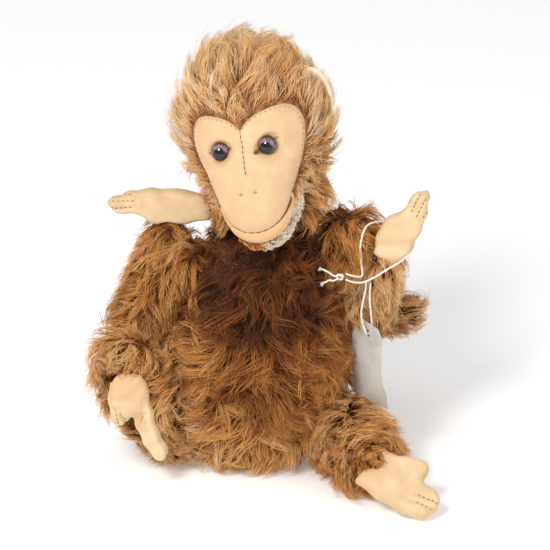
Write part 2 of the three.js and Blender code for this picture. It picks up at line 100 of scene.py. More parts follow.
class Finish:
    """A material with one Principled shader, whose fixed values are set straight on its sockets."""

    def __init__(self, name, **fixed):
        self.material = bpy.data.materials.new(name)
        self.material.use_nodes = True
        self.tree = self.material.node_tree
        self.shader = self.tree.nodes["Principled BSDF"]
        for socket, value in fixed.items():
            self.shader.inputs[socket.replace("_", " ").title().replace("Ior", "IOR")].default_value = value

    def node(self, kind, settings=None, sockets=None, output=0):
        made = self.tree.nodes.new(kind)
        for setting, value in (settings or {}).items():
            if setting == "stops":
                self.set_stops(made.color_ramp, value)
            else:
                setattr(made, setting, value)
        for socket, value in (sockets or {}).items():
            if isinstance(value, Wire):
                self.tree.links.new(value.socket, made.inputs[socket])
            else:
                made.inputs[socket].default_value = value
        return Wire(self, made.outputs[output])

    def set_stops(self, ramp, stops):
        while len(ramp.elements) < len(stops):
            ramp.elements.new(0.5)
        for element, (position, value) in zip(ramp.elements, stops):
            element.position = position
            element.color = value

    def place(self):
        return self.node("ShaderNodeTexCoord", output="Object")

    def noise(self, vector, scale, detail=3.0, roughness=0.55):
        sockets = {"Vector": vector, "Scale": scale, "Detail": detail, "Roughness": roughness}
        return self.node("ShaderNodeTexNoise", None, sockets)

    def clamped(self, value, low, high):
        """0 below low, 1 above high, and smooth between."""
        sockets = {"Value": value, "From Min": low, "From Max": high}
        return self.node("ShaderNodeMapRange", {"interpolation_type": "SMOOTHSTEP"}, sockets)

    def mix(self, first, second, share):
        sockets = {0: share, 6: first, 7: second}
        return self.node("ShaderNodeMix", {"data_type": "RGBA"}, sockets, output=2)

    def stretched(self, vector, scale):
        """The coordinates scaled apart along each axis, so that a pattern runs long or short on it."""
        return self.node("ShaderNodeMapping", None, {"Vector": vector, "Scale": scale})

    def near(self, vector, centre, radius):
        """1 at a point, and 0 from radius outwards."""
        gap = self.node("ShaderNodeVectorMath", {"operation": "DISTANCE"}, {0: vector, 1: centre}, output="Value")
        return 1 - self.clamped(gap, radius * 0.3, radius)

    def bump(self, height, distance, strength=1.0):
        sockets = {"Height": height, "Distance": distance, "Strength": strength}
        self.feed("Normal", self.node("ShaderNodeBump", None, sockets))

    def feed(self, socket, wire):
        self.tree.links.new(wire.socket, self.shader.inputs[socket])


# ---- finishes ----
def mohair():
    """Pile: its own map holds each hair's tone across and the way from its root to its tip up."""
    f = Finish("mohair", roughness=0.5, specular_ior_level=0.22, sheen_weight=0.1, sheen_roughness=0.4)
    f.shader.inputs["Sheen Tint"].default_value = colour(255, 226, 190)
    chart = f.node("ShaderNodeUVMap", {"uv_map": "OFBake"})
    tone = f.node("ShaderNodeSeparateXYZ", None, {"Vector": chart})
    along = Wire(f, tone.socket.node.outputs["Y"])

    def shades(*palette):
        stops = [(k / (len(palette) - 1), colour(*shade)) for k, shade in enumerate(palette)]
        return f.node("ShaderNodeValToRGB", {"stops": stops}, {0: tone})

    root = shades((22, 11, 9), (84, 37, 13), (146, 80, 26), (190, 124, 64), (222, 158, 98), (236, 224, 204))
    tip = shades((54, 33, 26), (162, 88, 36), (236, 164, 82), (252, 200, 134), (255, 224, 170), (255, 252, 244))
    fleck = f.noise(f.stretched(chart, (90.0, 6.0, 1.0)), 4.0, 2.0)
    share = along ** 0.8 * 0.9 + (fleck - 0.5) * 0.35
    f.feed("Base Color", f.mix(root, tip, f.clamped(share, 0.0, 0.95)))
    f.feed("Roughness", 0.42 + fleck * 0.2)
    return f.material


def backing(name, dark, light, patches=()):
    """The woven cloth under the pile, matted with its roots, and sewn-in patches of another colour."""
    f = Finish(name, roughness=0.9, specular_ior_level=0.15)
    place = f.place()
    locks = f.noise(f.stretched(place, (1.0, 1.0, 0.35)), 420.0, 4.0)
    shade = f.mix(dark, light, f.clamped(locks, 0.35, 0.7))
    for centre, radius, patch in patches:
        shade = f.mix(shade, patch, f.near(place, centre, radius))
    f.feed("Base Color", shade)
    f.bump(locks, 0.0012)
    return f.material


def felt(name, base, pale, deep, stains_and_shade):
    """Wool felt: matted fibres, soft mottling, and darker spots given by the caller: handling marks, and painted
    shade around the face's eyes.
    """
    f = Finish(name, roughness=0.93, specular_ior_level=0.15, sheen_weight=0.12, sheen_roughness=0.5)
    f.shader.inputs["Sheen Tint"].default_value = colour(255, 240, 218)
    place = f.place()
    cloud = f.noise(place, 95.0, 3.0)
    fibre = f.noise(f.stretched(place, (1.0, 2.2, 1.0)), 1500.0, 5.0, 0.7)
    cross = f.noise(f.stretched(place, (2.4, 1.0, 1.4)), 1100.0, 4.0, 0.7)
    shade = f.mix(base, pale, f.clamped(cloud, 0.35, 0.75))
    shade = f.mix(shade, deep, f.clamped(fibre * 0.5 + cross * 0.5, 0.46, 0.72) * 0.32)
    # the given spots: real stains and marks, and on the face painted shade in the eye sockets and slits
    for centre, radius, spot_colour, strength in stains_and_shade:
        blurred = f.near(place, centre, radius) * f.clamped(cloud + fibre * 0.4, 0.3, 0.85)
        shade = f.mix(shade, spot_colour, blurred * strength)
    f.feed("Base Color", shade)
    f.feed("Roughness", 0.86 + fibre * 0.12)
    f.bump(fibre * 0.6 + cross * 0.4, 0.00035, 0.8)
    return f.material


def thread(name, dark, light):
    """Twisted thread: a fine slanting ply."""
    f = Finish(name, roughness=0.65, specular_ior_level=0.3)
    place = f.place()
    ply = f.noise(f.stretched(place, (1.0, 1.0, 2.0)), 1800.0, 3.0)
    f.feed("Base Color", f.mix(dark, light, f.clamped(ply, 0.3, 0.7)))
    f.bump(ply, 0.0002)
    return f.material


def glass_eye(name, centre, out):
    """Glass over a painted back: a black pupil, and an iris dark below, lilac above and brown at its rim; the lilac
    above is a painted reflection.
    """
    f = Finish(name, roughness=0.04, specular_ior_level=0.4, coat_weight=0.5, coat_roughness=0.02)
    place = f.place()
    away = f.node("ShaderNodeVectorMath", {"operation": "SUBTRACT"}, {0: place, 1: centre})
    depth = f.node("ShaderNodeVectorMath", {"operation": "DOT_PRODUCT"}, {0: away, 1: out}, output="Value")
    reach = f.node("ShaderNodeVectorMath", {"operation": "LENGTH"}, {0: away}, output="Value")
    ring = f.node("ShaderNodeMath", {"operation": "SQRT"}, {0: reach * reach - depth * depth})
    height = f.node("ShaderNodeSeparateXYZ", None, {"Vector": away}, output="Z")
    streak = f.noise(place, 900.0, 3.0)
    # painted reflection: the iris turns lilac towards its top
    painted_reflection = f.clamped(height, -0.002, 0.004)
    iris = f.mix(colour(58, 32, 30), colour(158, 128, 142), painted_reflection)
    iris = f.mix(iris, colour(84, 50, 52), f.clamped(streak, 0.4, 0.65) * 0.75)
    rimmed = f.mix(iris, colour(60, 36, 28), f.clamped(ring, 0.0041, 0.0049))
    f.feed("Base Color", f.mix(colour(5, 5, 8), rimmed, f.clamped(ring, 0.0030, 0.0036)))
    return f.material


def card():
    """Tag card: flecks of pulp, pale grey, clouded darker in soft patches."""
    f = Finish("tag_card", roughness=0.75, specular_ior_level=0.3)
    place = f.place()
    pulp = f.noise(place, 900.0, 4.0)
    cloud = f.noise(place, 70.0, 2.0)
    shade = f.mix(colour(214, 210, 202), colour(196, 192, 186), f.clamped(cloud, 0.35, 0.7))
    f.feed("Base Color", f.mix(shade, colour(176, 168, 156), f.clamped(pulp, 0.52, 0.72) * 0.35))
    f.bump(pulp, 0.00012)
    return f.material


def floor_paper():
    f = Finish("floor_paper", roughness=0.8, specular_ior_level=0.1, emission_strength=0.2)
    f.shader.inputs["Emission Color"].default_value = (1, 1, 1, 1)
    grain = f.noise(f.place(), 260.0, 2.0)
    f.feed("Base Color", f.mix(colour(250, 250, 250), colour(246, 246, 246), grain))
    return f.material


MOHAIR = mohair()
BACKING_BROWN = backing("backing_brown", colour(62, 32, 16), colour(128, 76, 36))
THREAD_BROWN = thread("thread_brown", colour(40, 24, 16), colour(92, 62, 42))
COTTON = thread("cotton", colour(214, 206, 194), colour(248, 244, 236))


# ---- geometry helpers ----
def deselect():
    if bpy.context.object and bpy.context.object.mode != "OBJECT":
        bpy.ops.object.mode_set(mode="OBJECT")
    bpy.ops.object.select_all(action="DESELECT")


def pick(piece):
    deselect()
    piece.select_set(True)
    bpy.context.view_layer.objects.active = piece


def settle(piece):
    """Moves a piece's place, turn and size into its mesh."""
    pick(piece)
    bpy.ops.object.transform_apply(location=True, rotation=True, scale=True)


def apply_all(piece):
    pick(piece)
    for modifier in [m.name for m in piece.modifiers]:
        bpy.ops.object.modifier_apply(modifier=modifier)


def edit(piece, step, **settings):
    """Runs one edit-mode tool over the whole of a piece."""
    pick(piece)
    bpy.ops.object.mode_set(mode="EDIT")
    bpy.ops.mesh.select_all(action="SELECT")
    step(**settings)
    bpy.ops.object.mode_set(mode="OBJECT")


def link_new(name, data):
    made = bpy.data.objects.new(name, data)
    bpy.context.scene.collection.objects.link(made)
    return made


def thicken(piece, thickness, offset=0):
    solid = piece.modifiers.new("thickness", "SOLIDIFY")
    solid.thickness = thickness
    solid.offset = offset
    apply_all(piece)


def clothe(piece, material):
    piece.data.materials.clear()
    piece.data.materials.append(material)


def finish_piece(piece, body, nodes=()):
    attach(piece, body)
    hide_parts(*nodes)
    return piece


def mesh_piece(name, points, faces, material):
    mesh = bpy.data.meshes.new(name)
    mesh.from_pydata([tuple(p) for p in points], [], faces)
    mesh.update()
    piece = link_new(name, mesh)
    clothe(piece, material)
    mesh.polygons.foreach_set("use_smooth", [True] * len(mesh.polygons))
    return piece


def unit(vectors):
    return vectors / np.maximum(np.linalg.norm(vectors, axis=-1, keepdims=True), 1e-9)


def mm(*numbers):
    return np.array(numbers, float) * MM


def soft_copy(name, node, voxel, smoothing, lumps=()):
    """A stuffed skin in a solid's place: its copy, with any lumps added, is merged, remeshed and rubbed smooth."""
    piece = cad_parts[node].copy()
    piece.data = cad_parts[node].data.copy()
    for key in list(piece.keys()):
        del piece[key]
    piece.name = name
    piece.parent = None
    bpy.context.scene.collection.objects.link(piece)
    for centre, radii in lumps:
        deselect()
        bpy.ops.mesh.primitive_uv_sphere_add(segments=32, ring_count=20, radius=1.0, location=centre)
        bpy.context.object.scale = radii
        bpy.ops.object.transform_apply(location=True, rotation=True, scale=True)
        piece.select_set(True)
        bpy.context.view_layer.objects.active = piece
        bpy.ops.object.join()
    edit(piece, bpy.ops.mesh.remove_doubles, threshold=0.00002)
    remesh = piece.modifiers.new("remesh", "REMESH")
    remesh.mode = "VOXEL"
    remesh.voxel_size = voxel * MM
    remesh.use_smooth_shade = True
    smooth = piece.modifiers.new("smooth", "SMOOTH")
    smooth.iterations = smoothing
    apply_all(piece)
    return piece


def vertices_of(piece, kind="co"):
    values = np.empty(len(piece.data.vertices) * 3)
    piece.data.vertices.foreach_get(kind, values)
    return values.reshape(-1, 3)


def set_vertices(piece, points):
    piece.data.vertices.foreach_set("co", points.ravel())
    piece.data.update()


def normals_of(piece):
    return vertices_of(piece, "normal")


def surface_of(piece):
    points = vertices_of(piece)
    return BVHTree.FromPolygons([tuple(p) for p in points], [tuple(f.vertices) for f in piece.data.polygons])


def gone_along(route):
    """How far along a route each of its points is."""
    return np.concatenate([[0], np.cumsum(np.linalg.norm(np.diff(route, axis=0), axis=1))])


def smooth_route(points, step):
    """Points a step apart on a smooth curve through the given ones."""
    points = np.array(points, float)
    padded = np.vstack([2 * points[0] - points[1], points, 2 * points[-1] - points[-2]])

    def between(t, start, end, first, second):
        return (end - t) / (end - start) * first + (t - start) / (end - start) * second

    gaps = np.sqrt(np.linalg.norm(np.diff(padded, axis=0), axis=1))
    knots = np.concatenate([[0], np.cumsum(gaps)])
    fine = []
    for i in range(1, len(padded) - 2):
        t0, t1, t2, t3 = knots[i - 1:i + 3]
        p0, p1, p2, p3 = padded[i - 1:i + 3]
        for t in np.linspace(t1, t2, 24, endpoint=False):
            a1, a2, a3 = between(t, t0, t1, p0, p1), between(t, t1, t2, p1, p2), between(t, t2, t3, p2, p3)
            fine.append(between(t, t1, t2, between(t, t0, t2, a1, a2), between(t, t1, t3, a2, a3)))
    fine = np.array(fine + [points[-1]])
    along = gone_along(fine)
    count = max(2, round(along[-1] / step) + 1)
    spots = np.linspace(0, along[-1], count)
    return np.stack([np.interp(spots, along, fine[:, k]) for k in range(3)], axis=1)


def twisted(name, routes, radius, material, plies=3, twist=900.0, sides=9, taper=0):
    """Twisted thread or string along routes: a round tube with the grooves between its plies winding round it."""
    points, faces = [], []
    turn = np.arange(sides) / sides * 2 * math.pi
    for route in routes:
        route = np.array(route)
        ahead = unit(np.gradient(route, axis=0))
        side = np.cross(ahead[0], (0, 0, 1.0) if abs(ahead[0][2]) < 0.9 else (1.0, 0, 0))
        start = len(points)
        gone = gone_along(route)
        for k, (centre, forward) in enumerate(zip(route, ahead)):
            side = unit(side - forward * np.dot(side, forward))
            other = np.cross(forward, side)
            wind = turn * plies / 2 - gone[k] * twist
            size = radius * (0.8 + 0.24 * np.abs(np.cos(wind)))
            end = min(k, len(route) - 1 - k)
            if taper and end < taper:
                size = size * (0.35 + 0.65 * end / taper)
            points += list(centre + size[:, None] * (np.cos(turn)[:, None] * side + np.sin(turn)[:, None] * other))
        for k in range(len(route) - 1):
            for j in range(sides):
                a, b = start + k * sides + j, start + k * sides + (j + 1) % sides
                faces.append((a, b, b + sides, a + sides))
        last = start + (len(route) - 1) * sides
        faces.append(tuple(start + j for j in reversed(range(sides))))
        faces.append(tuple(last + j for j in range(sides)))
    return mesh_piece(name, points, faces, material)


# ---- the string on the wrist, and the loop that holds the tag ----
STRING_RADIUS = 0.0005
WRIST_ROUTE = [
    (47.5, -25.6, 109.6), (51, -24.6, 108), (55.6, -21.6, 106.6), (55.2, -19, 113), (55, -16, 122),
    (58, -10, 128.4), (65, -4.6, 128.4), (74, -3.6, 125.4), (81, -8, 121.6), (80.6, -14.6, 117.8),
    (75.6, -20.4, 114.6), (68, -23.2, 110.8), (61, -24.2, 106.6), (55.6, -24.6, 104.4), (51, -25.8, 105.2),
    (47.5, -26.4, 106.8),
]
TAG_ROUTE = [
    (57.6, -21.4, 103.4), (57.3, -21.2, 98), (56, -20.8, 91), (55.4, -20.4, 85), (56.4, -20.8, 79),
    (58, -22.6, 75.6), (59.4, -20, 74.2), (60.4, -17.6, 76), (60.6, -18.6, 80), (60.2, -19.6, 86),
    (59.6, -20.4, 92), (59.6, -21, 98), (60, -21.4, 102.6),
]
KNOT_AT = mm(44.6, -26, 108.2)

wrist_path = smooth_route(np.array(WRIST_ROUTE) * MM, 0.0005)
tag_path = smooth_route(np.array(TAG_ROUTE) * MM, 0.0005)
wrist_twine = twisted("wrist_twine", [wrist_path], STRING_RADIUS, COTTON)
finish_piece(wrist_twine, "arm_left", ["wrist_string"])
tag_twine = twisted("tag_twine", [tag_path], STRING_RADIUS, COTTON)
finish_piece(tag_twine, "tag", ["tag_string"])


# ---- the tag: a blank card with cut top corners and a hole, bent at its lower corner ----
TAG_TOP = mm(59.4, -20, 79.6)
TAG_WIDTH, TAG_HEIGHT, TAG_THICKNESS = 0.027, 0.043, 0.0006
TAG_TURN = math.radians(-58)
TAG_CELLS = 26
HOLE_DROP, HOLE_RADIUS = 0.005, 0.002


def make_tag():
    across = np.linspace(-TAG_WIDTH / 2, TAG_WIDTH / 2, TAG_CELLS + 1)
    down = np.linspace(0, -TAG_HEIGHT, round(TAG_CELLS * TAG_HEIGHT / TAG_WIDTH) + 1)
    build = bmesh.new()
    grid = [[build.verts.new((x, 0, z)) for x in across] for z in down]
    for row, below in zip(grid, grid[1:]):
        for k in range(TAG_CELLS):
            build.faces.new((row[k], below[k], below[k + 1], row[k + 1]))
    for side in (-1, 1):
        corner = Vector((side * TAG_WIDTH / 2, 0, -0.005))
        normal = Vector((side * 0.64, 0, 0.77))
        parts = build.verts[:] + build.edges[:] + build.faces[:]
        bmesh.ops.bisect_plane(build, geom=parts, plane_co=corner, plane_no=normal, clear_outer=True)
    hole = [f for f in build.faces if (f.calc_center_median() + Vector((0, 0, HOLE_DROP))).length < 0.0019]
    bmesh.ops.delete(build, geom=hole, context="FACES")
    for vertex in build.verts:
        ring = Vector((vertex.co.x, vertex.co.z + HOLE_DROP))
        if ring.length < 0.0027:
            ring = ring.normalized() * HOLE_RADIUS
            vertex.co.x, vertex.co.z = ring.x, ring.y - HOLE_DROP
    mesh = bpy.data.meshes.new("swing_tag")
    build.to_mesh(mesh)
    build.free()
    piece = link_new("swing_tag_card", mesh)
    thicken(piece, TAG_THICKNESS)
    points = vertices_of(piece)
    fold = np.clip((points[:, 0] * 0.75 - points[:, 2] * 0.66 - 0.0235) / 0.01, 0, 1)
    points[:, 1] += 0.0012 * np.sin(points[:, 2] / TAG_HEIGHT * 3.2) + 0.003 * fold ** 1.4
    turn = np.array(Matrix.Rotation(TAG_TURN, 3, "Z"))
    set_vertices(piece, points @ turn.T + TAG_TOP)
    clothe(piece, card())
    return piece


tag = make_tag()
finish_piece(tag, "tag", ["swing_tag"])
[tuple(p) for p in tag_path[::2]] + [tuple(tag_path[-1])]


# ---- the knot, with its two frayed ends ----
def make_knot():
    dice = np.random.default_rng(5)
    loops = []
    for k in range(3):
        angle = np.linspace(0, 1.9 * math.pi, 40)
        tilt = np.array(Matrix.Rotation(0.9 * k + 0.3, 3, (0.3, 1.0, 0.2 * k)))
        ring = np.stack([1.7 * np.cos(angle), 0.5 * np.sin(2 * angle), 1.3 * np.sin(angle)], axis=1) * MM
        loops.append(ring @ tilt.T + KNOT_AT)
    ends = [
        [(43.6, -26.4, 108.4), (41.4, -27.2, 109.4), (38.6, -27.6, 111.6), (36.2, -27.4, 112.8)],
        [(43.8, -26.6, 107.6), (41.6, -27.6, 106.8), (39.4, -28, 107.2), (37.2, -28.4, 106.2)],
    ]
    loops += [smooth_route(np.array(end) * MM, 0.0004) for end in ends]
    knot = twisted("string_knot_tied", loops, STRING_RADIUS * 0.95, COTTON)
    fibres = []
    for end in ends:
        tip = np.array(end[-1]) * MM
        ahead = unit((np.array(end[-1]) - np.array(end[-2])) * MM)
        for _ in range(9):
            away = unit(ahead + dice.normal(0, 0.45, 3))
            droop = np.array((0, 0, -0.0004))
            fibres.append([tip - ahead * 0.0008, tip + away * 0.0011, tip + away * 0.0024 + droop])
    fray = twisted("string_fray", [smooth_route(f, 0.0006) for f in fibres], 0.00013, COTTON, sides=4)
    return knot, fray


for piece in make_knot():
    finish_piece(piece, "arm_left", ["string_knot"] if piece.name == "string_knot_tied" else [])

# ---- where the head sits, and its own directions ----
NECK = mm(11.375, 0, 129)
HEAD_LEAN, HEAD_ASIDE = math.radians(-12), math.radians(-7)
HEAD_TURN = np.array(Matrix.Rotation(HEAD_LEAN, 3, "Y") @ Matrix.Rotation(HEAD_ASIDE, 3, "Z"))
HEAD_BACK = HEAD_TURN @ np.array((0.0, 1.0, 0.0))


def on_head(points):
    """Head points, in millimetres from the neck, put where the head is."""
    return np.asarray(points, float) * MM @ HEAD_TURN.T + NECK


def in_head(points):
    """Places in the toy, as millimetres from the neck along the head's own directions."""
    return (points - NECK) @ HEAD_TURN / MM


JAW_WHITE = colour(240, 234, 224)
JAW_SPOTS = on_head([(11, -35, 7), (18, -31, 14), (22, -24, 21)])
JAW_PATCHES = [(tuple(spot), 0.010, JAW_WHITE) for spot in JAW_SPOTS]
BACKING_TAN = backing("backing_tan", colour(110, 70, 40), colour(176, 126, 82), JAW_PATCHES)

# ---- the skins under the pile ----
torso_skin = soft_copy("torso_skin", "torso_cover", 2.2, 6)
head_skin = soft_copy("head_skin", "head_cover", 1.6, 8)
arm_skins = {side: soft_copy(f"arm_skin_{side}", f"arm_{side}", 1.4, 4) for side in SIDES}
leg_skins = {side: soft_copy(f"leg_skin_{side}", f"leg_{side}", 1.6, 4) for side in SIDES}
tail_skin = soft_copy("tail_skin", "tail", 1.3, 4)
chin_skin = soft_copy("chin_skin", "chin_patch", 1.0, 3)

# the raised leg's ankle is pressed flat behind its foot
ANKLE_TOP, ANKLE_FRONT = 0.0655, -0.0365
ankle_skin = vertices_of(leg_skins["right"])
behind_foot = (ankle_skin[:, 2] < ANKLE_TOP) & (ankle_skin[:, 1] < ANKLE_FRONT)
ankle_skin[behind_foot, 1] = ANKLE_FRONT + 0.15 * (ankle_skin[behind_foot, 1] - ANKLE_FRONT)
set_vertices(leg_skins["right"], ankle_skin)

for side in SIDES:
    for skin, limb in ((arm_skins[side], f"arm_{side}"), (leg_skins[side], f"leg_{side}")):
        clothe(skin, BACKING_BROWN)
        finish_piece(skin, limb, [limb])
CHIN_BACKING = backing("backing_chin", colour(120, 84, 54), colour(182, 146, 108), JAW_PATCHES)
for skin, material, body, slot, node in (
        (torso_skin, BACKING_BROWN, "torso", "mohair_brown", "torso_cover"),
        (head_skin, BACKING_TAN, "head", "mohair_tan", "head_cover"),
        (tail_skin, BACKING_BROWN, "torso", "mohair_brown", "tail"),
        (chin_skin, CHIN_BACKING, "head", "mohair_white", "chin_patch")):
    clothe(skin, material)
    finish_piece(skin, body, [node])

# ---- pile ----
HAIR_STEPS = 5
HAIR_SIDES = 3
FARTHEST = mm(-84, -90, 0.3), mm(100, 80, 230.5)


def scatter(skin, count, keep, dice):
    """Random places on a skin, denser where keep says so, and the way out at each."""
    mesh = skin.data
    mesh.calc_loop_triangles()
    corners = np.empty(len(mesh.loop_triangles) * 3, np.int32)
    mesh.loop_triangles.foreach_get("vertices", corners)
    corners = corners.reshape(-1, 3)
    points, normals = vertices_of(skin), normals_of(skin)
    a, b, c = points[corners[:, 0]], points[corners[:, 1]], points[corners[:, 2]]
    weight = np.linalg.norm(np.cross(b - a, c - a), axis=1)
    weight = weight * keep((a + b + c) / 3, unit(normals[corners].sum(axis=1)))
    chosen = dice.choice(len(corners), count, p=weight / weight.sum())
    s, t = np.sqrt(dice.random(count)), dice.random(count)
    share = np.stack([1 - s, s * (1 - t), s * t], axis=1)[:, :, None]
    return (points[corners[chosen]] * share).sum(axis=1), unit((normals[corners[chosen]] * share).sum(axis=1))


def nearest(surface, points):
    found = [surface.find_nearest(Vector(p)) for p in points]
    return np.array([f[0] for f in found]), np.array([f[1] for f in found])


def comb(name, skin, body, slot, strands, locks, seed, keep, flow, length, stand, tone,
         wave=0.0012, cling=0.72, thick=0.16, fuzz=0.0009, stray=0.4, fly=0.12):
    """Pile on a skin, as fine closed hairs gathered into locks that wander over it together.

    keep thins it out, flow is the way a lock lies, length its reach, stand how far its tips rise and tone its
    place in the palette. cling draws hairs to their lock, and fly is the share of hairs that stray from it.
    """
    dice = np.random.default_rng(seed)
    places, outward = scatter(skin, strands + locks, keep, dice)
    surface = surface_of(skin)
    lock_root, root = places[:locks], places[locks:]
    out = outward[locks:]
    here, rise = lock_root.copy(), outward[:locks].copy()
    reach = length(lock_root) * dice.uniform(0.75, 1.2, locks)
    tall = stand(lock_root) * dice.uniform(0.6, 1.35, locks)
    phase, beats = dice.uniform(0, 2 * math.pi, locks), dice.uniform(0.7, 1.6, locks)
    sway = wave * dice.uniform(0.4, 1.5, locks)
    astray = dice.normal(0, stray, (locks, 3))
    path = np.zeros((locks, HAIR_STEPS, 3))
    for k in range(HAIR_STEPS):
        t = k / (HAIR_STEPS - 1)
        lie = unit(flow(here, rise)) + astray
        lie = unit(lie - rise * (lie * rise).sum(axis=1, keepdims=True))
        across = np.cross(rise, lie)
        swing = np.sin(phase + t * beats * 2 * math.pi) - np.sin(phase)
        height = tall * (1 - (1 - t) ** 1.7) + 0.35 * sway * np.sin(phase * 2 + t * beats * 5.0) * t
        path[:, k] = here + rise * height[:, None] + across * (sway * swing)[:, None]
        here, rise = nearest(surface, here + lie * (reach / (HAIR_STEPS - 1))[:, None])
    owner = np.empty(strands, int)
    for start in range(0, strands, 2000):
        gap = np.linalg.norm(root[start:start + 2000, None] - lock_root[None], axis=2)
        owner[start:start + 2000] = gap.argmin(axis=1)
    times = np.linspace(0, 1, HAIR_STEPS)
    own_length = dice.uniform(0.55, 1.08, strands)
    reached = np.minimum(times[None] * own_length[:, None], 1) * (HAIR_STEPS - 1)
    low = np.minimum(reached.astype(int), HAIR_STEPS - 2)
    part = (reached - low)[:, :, None]
    line = path[owner[:, None], low] * (1 - part) + path[owner[:, None], low + 1] * part
    beside = (root - lock_root[owner])[:, None]
    loose = dice.random(strands) < fly
    held = np.where(loose, 0.25, cling)[:, None, None]
    loosen = 1 - held * (times[None, :, None] * own_length[:, None, None]) ** 1.1
    wild = dice.normal(0, 1, (strands, 1, 3)) * times[None, :, None] ** 1.5
    line = line + beside * loosen + wild * np.where(loose, fuzz * 3.2, fuzz)[:, None, None]
    line[:, 0] -= out * 0.0003
    line = np.clip(line, *FARTHEST)
    tones = tone(root) + dice.normal(0, 0.07, locks)[owner] + dice.normal(0, 0.035, strands)
    return hairs(name, line, out, thick * MM * dice.uniform(0.75, 1.25, strands), np.clip(tones, 0.01, 0.99),
                 body)


def hairs(name, line, out, radius, tones, body):
    """Closed three-sided hairs along the lines, each tapering to a point."""
    strands = len(line)
    ahead = unit(np.gradient(line, axis=1))
    side = unit(np.cross(ahead, out[:, None] + np.array((0.013, 0.017, 0.011))))
    other = np.cross(ahead, side)
    rings = HAIR_STEPS - 1
    taper = np.array((0.75, 1.0, 0.85, 0.55))
    turn = np.arange(HAIR_SIDES) / HAIR_SIDES * 2 * math.pi
    size = (radius[:, None] * taper[None])[:, :, None, None]
    round_it = side[:, :rings, None] * np.cos(turn)[:, None] + other[:, :rings, None] * np.sin(turn)[:, None]
    ring_points = line[:, :rings, None] + size * round_it
    points = np.concatenate([ring_points.reshape(strands, -1, 3), line[:, -1:]], axis=1)
    count = points.shape[1]
    quads = []
    for k in range(rings - 1):
        for j in range(HAIR_SIDES):
            a, b = k * HAIR_SIDES + j, k * HAIR_SIDES + (j + 1) % HAIR_SIDES
            quads.append((a, b, b + HAIR_SIDES, a + HAIR_SIDES))
    last = (rings - 1) * HAIR_SIDES
    ends = [(last + j, last + (j + 1) % HAIR_SIDES, count - 1) for j in range(HAIR_SIDES)]
    ends.append(tuple(reversed(range(HAIR_SIDES))))
    corner = np.array([v for face in quads + ends for v in face])
    sizes = np.array([4] * len(quads) + [3] * len(ends))
    corners = (corner[None] + (np.arange(strands) * count)[:, None]).ravel()
    starts = np.concatenate([[0], np.cumsum(np.tile(sizes, strands))[:-1]])
    mesh = bpy.data.meshes.new(name)
    mesh.vertices.add(strands * count)
    mesh.vertices.foreach_set("co", points.ravel())
    mesh.loops.add(len(corners))
    mesh.loops.foreach_set("vertex_index", corners.astype(np.int32))
    mesh.polygons.add(len(starts))
    mesh.polygons.foreach_set("loop_start", starts.astype(np.int32))
    mesh.polygons.foreach_set("use_smooth", np.ones(len(starts), bool))
    mesh.update(calc_edges=True)
    way = np.concatenate([np.repeat(np.arange(rings), HAIR_SIDES), [rings]]) / rings
    chart = mesh.uv_layers.new(name="OFBake")
    spots = np.stack([np.repeat(tones, len(corner)), np.tile(0.02 + 0.96 * way[corner], strands)], axis=1)
    chart.data.foreach_set("uv", spots.ravel())
    piece = link_new(name, mesh)
    clothe(piece, MOHAIR)
    return finish_piece(piece, body)


def everywhere(points, normals):
    return np.ones(len(points))


def same(value):
    return lambda points: value + 0 * points[:, 0]


def ramp(value, low, high):
    share = np.clip((value - low) / (high - low), 0, 1)
    return share * share * (3 - 2 * share)


def swirl(points, scale, seed):
    """A smooth wandering direction over the toy, the same wherever it is asked."""
    dice = np.random.default_rng(seed)
    total = np.zeros_like(points)
    for _ in range(4):
        way = dice.normal(0, 1, (3, 3))
        total += np.sin(points @ way.T / scale + dice.uniform(0, 6.28, 3))
    return total / 2.5


FULL = 1.0
# the shoulder and hip seams: a point and the way out of the body
SEAMS = {
    "arm_left": (mm(34.5, 0, 100), np.array((0.921982, 0, 0.387232))),
    "arm_right": (mm(-19.5, 0, 100), np.array((-0.921982, 0, 0.387232))),
    "leg_left": (mm(33.13, -10.541, 22), np.array((0.878409, -0.319715, -0.355218))),
    "leg_right": (mm(-29.83, -10.541, 22), np.array((-0.878409, -0.319715, -0.355218))),
}


def off_seams(points, names, reach):
    """1 away from the flat joint seams, and 0 on them."""
    free = np.ones(len(points))
    for name in names:
        place, axis = SEAMS[name]
        depth = (points - place) @ axis
        ring = np.linalg.norm(points - place - depth[:, None] * axis, axis=1)
        free[(np.abs(depth) < 0.0016) & (ring < reach)] = 0
    return free


# the body's pile: dark at the throat, partly its own colour and partly painted shade under the head, red-brown
# below, golden at the sides, foot and back
TORSO_LEAN = 0.075


def torso_tone(points):
    x, y, z = (points / MM).T
    lean = x - TORSO_LEAN * z
    # painted shade in part: the pile is darkest at the top of the body, under the head
    tone = 0.08 + 0.19 * (1 - ramp(z, 62, 92)) + 0.24 * (1 - ramp(z, 20, 56))
    tone = tone + 0.22 * ramp(-lean, 6, 30) * (1 - 0.75 * ramp(z, 74, 104))
    tone = tone + 0.12 * ramp(lean, 18, 34) + 0.26 * ramp(y, 0, 20)
    return np.minimum(tone, 0.56) + 0.06 * swirl(points, 0.011, 21)[:, 0]


def torso_flow(points, normals):
    x, y, z = (points / MM).T
    lean = x - TORSO_LEAN * z
    aside = -0.25 - 0.045 * np.clip(-lean, 0, 30) + 0.02 * np.clip(lean, 0, 30)
    down = np.stack([aside, np.zeros_like(x), -np.ones_like(x)], axis=1)
    return down + 0.8 * swirl(points, 0.011, 8)


